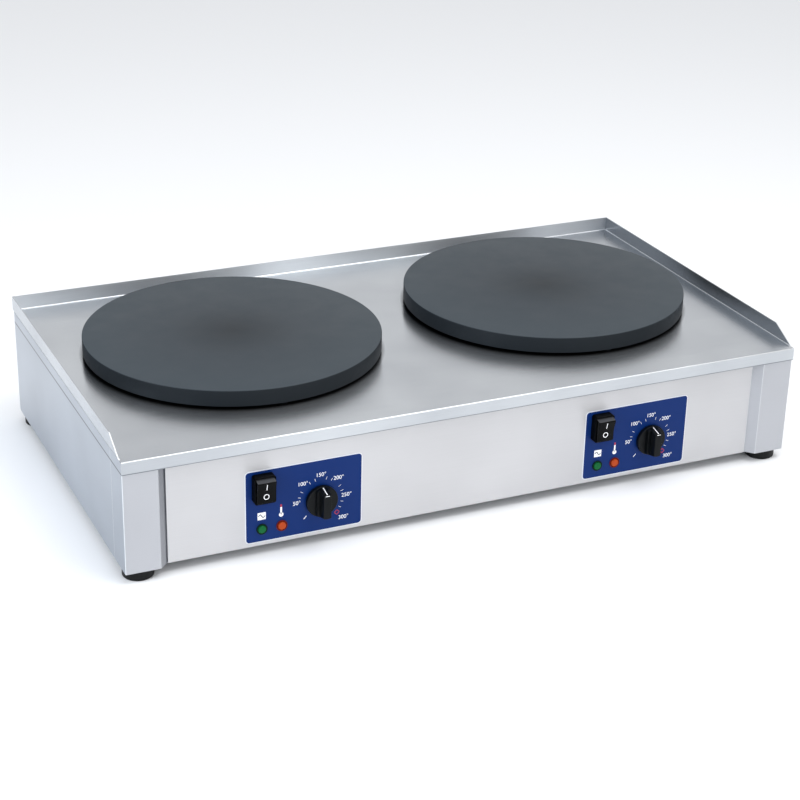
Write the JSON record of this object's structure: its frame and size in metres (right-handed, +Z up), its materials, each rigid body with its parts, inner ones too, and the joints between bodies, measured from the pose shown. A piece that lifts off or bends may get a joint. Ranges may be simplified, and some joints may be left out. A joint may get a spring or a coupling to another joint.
{
  "type": "electric crepe maker",
  "caption": "Countertop electric crepe maker: round cast-iron hot plates on a folded stainless casing with upstands, rocker switches, pilot lamps and thermostat knobs.",
  "frame": {"origin": "on the table under the feet, in the middle of the whole machine's width and depth", "axes": "+X to the right as seen by the user at the front, +Y from the front to the back, +Z up"},
  "size_m": [0.952, 0.5498, 0.1925],
  "materials": {
    "stainless": "fine brushed stainless steel sheet",
    "galvanised_sheet": "plain galvanised sheet, dull",
    "cast_iron": "seasoned machined cast iron, satin",
    "element_sheath": "dark oxidised steel sheath",
    "zinc_steel": "zinc plated steel",
    "blue_overlay": "dark blue printed polyester sheet, satin",
    "knob_plastic": "black moulded phenolic, satin",
    "black_plastic": "black moulded nylon",
    "rocker_plastic": "black moulded plastic, slightly glossy",
    "green_lens": "translucent green lamp lens, unlit",
    "orange_lens": "translucent orange lamp lens",
    "white_plastic": "white moulded nylon",
    "black_rubber": "moulded black rubber"
  },
  "bodies": {
    "casing": {"worktop": "stainless", "corner_post_left": "stainless", "corner_post_right": "stainless", "side_panel_left": "stainless", "side_panel_right": "stainless", "front_panel": "stainless", "back_panel": "stainless", "worktop_brace": "galvanised_sheet", "base_tray": "galvanised_sheet", "cable_gland": "black_plastic", "cable_gland_nut": "black_plastic", "foot_front_left": "black_rubber", "foot_front_right": "black_rubber", "foot_back_left": "black_rubber", "foot_back_right": "black_rubber", "hot_plate_left": "cast_iron", "heating_elements_left": "element_sheath", "element_clamp_left": "galvanised_sheet", "element_pan_left": "galvanised_sheet", "plate_fixing_left": "zinc_steel", "control_overlay_left": "blue_overlay", "thermostat_body_left": "galvanised_sheet", "switch_body_left": "black_plastic", "green_lamp_lens_left": "green_lens", "green_lamp_body_left": "white_plastic", "orange_lamp_lens_left": "orange_lens", "orange_lamp_body_left": "white_plastic", "hot_plate_right": "cast_iron", "heating_elements_right": "element_sheath", "element_clamp_right": "galvanised_sheet", "element_pan_right": "galvanised_sheet", "plate_fixing_right": "zinc_steel", "control_overlay_right": "blue_overlay", "thermostat_body_right": "galvanised_sheet", "switch_body_right": "black_plastic", "green_lamp_lens_right": "green_lens", "green_lamp_body_right": "white_plastic", "orange_lamp_lens_right": "orange_lens", "orange_lamp_body_right": "white_plastic"},
    "switch_left": {"switch_rocker_left": "rocker_plastic"},
    "dial_left": {"knob_left": "knob_plastic", "thermostat_shaft_left": "zinc_steel"},
    "switch_right": {"switch_rocker_right": "rocker_plastic"},
    "dial_right": {"knob_right": "knob_plastic", "thermostat_shaft_right": "zinc_steel"}
  },
  "joints": [
    {"name": "rocker_left", "type": "hinge", "parent": "casing", "child": "switch_left", "pos_m": [-0.2945, -0.2561, 0.0956], "axis": [-1, 0, 0], "range_deg": [0, 16]},
    {"name": "dial_turn_left", "type": "hinge", "parent": "casing", "child": "dial_left", "pos_m": [-0.2167, -0.2516, 0.0629], "axis": [0, 1, 0], "range_deg": [-135, 135]},
    {"name": "rocker_right", "type": "hinge", "parent": "casing", "child": "switch_right", "pos_m": [0.1835, -0.2561, 0.0956], "axis": [-1, 0, 0], "range_deg": [0, 16]},
    {"name": "dial_turn_right", "type": "hinge", "parent": "casing", "child": "dial_right", "pos_m": [0.2613, -0.2516, 0.0629], "axis": [0, 1, 0], "range_deg": [-135, 135]}
  ]
}
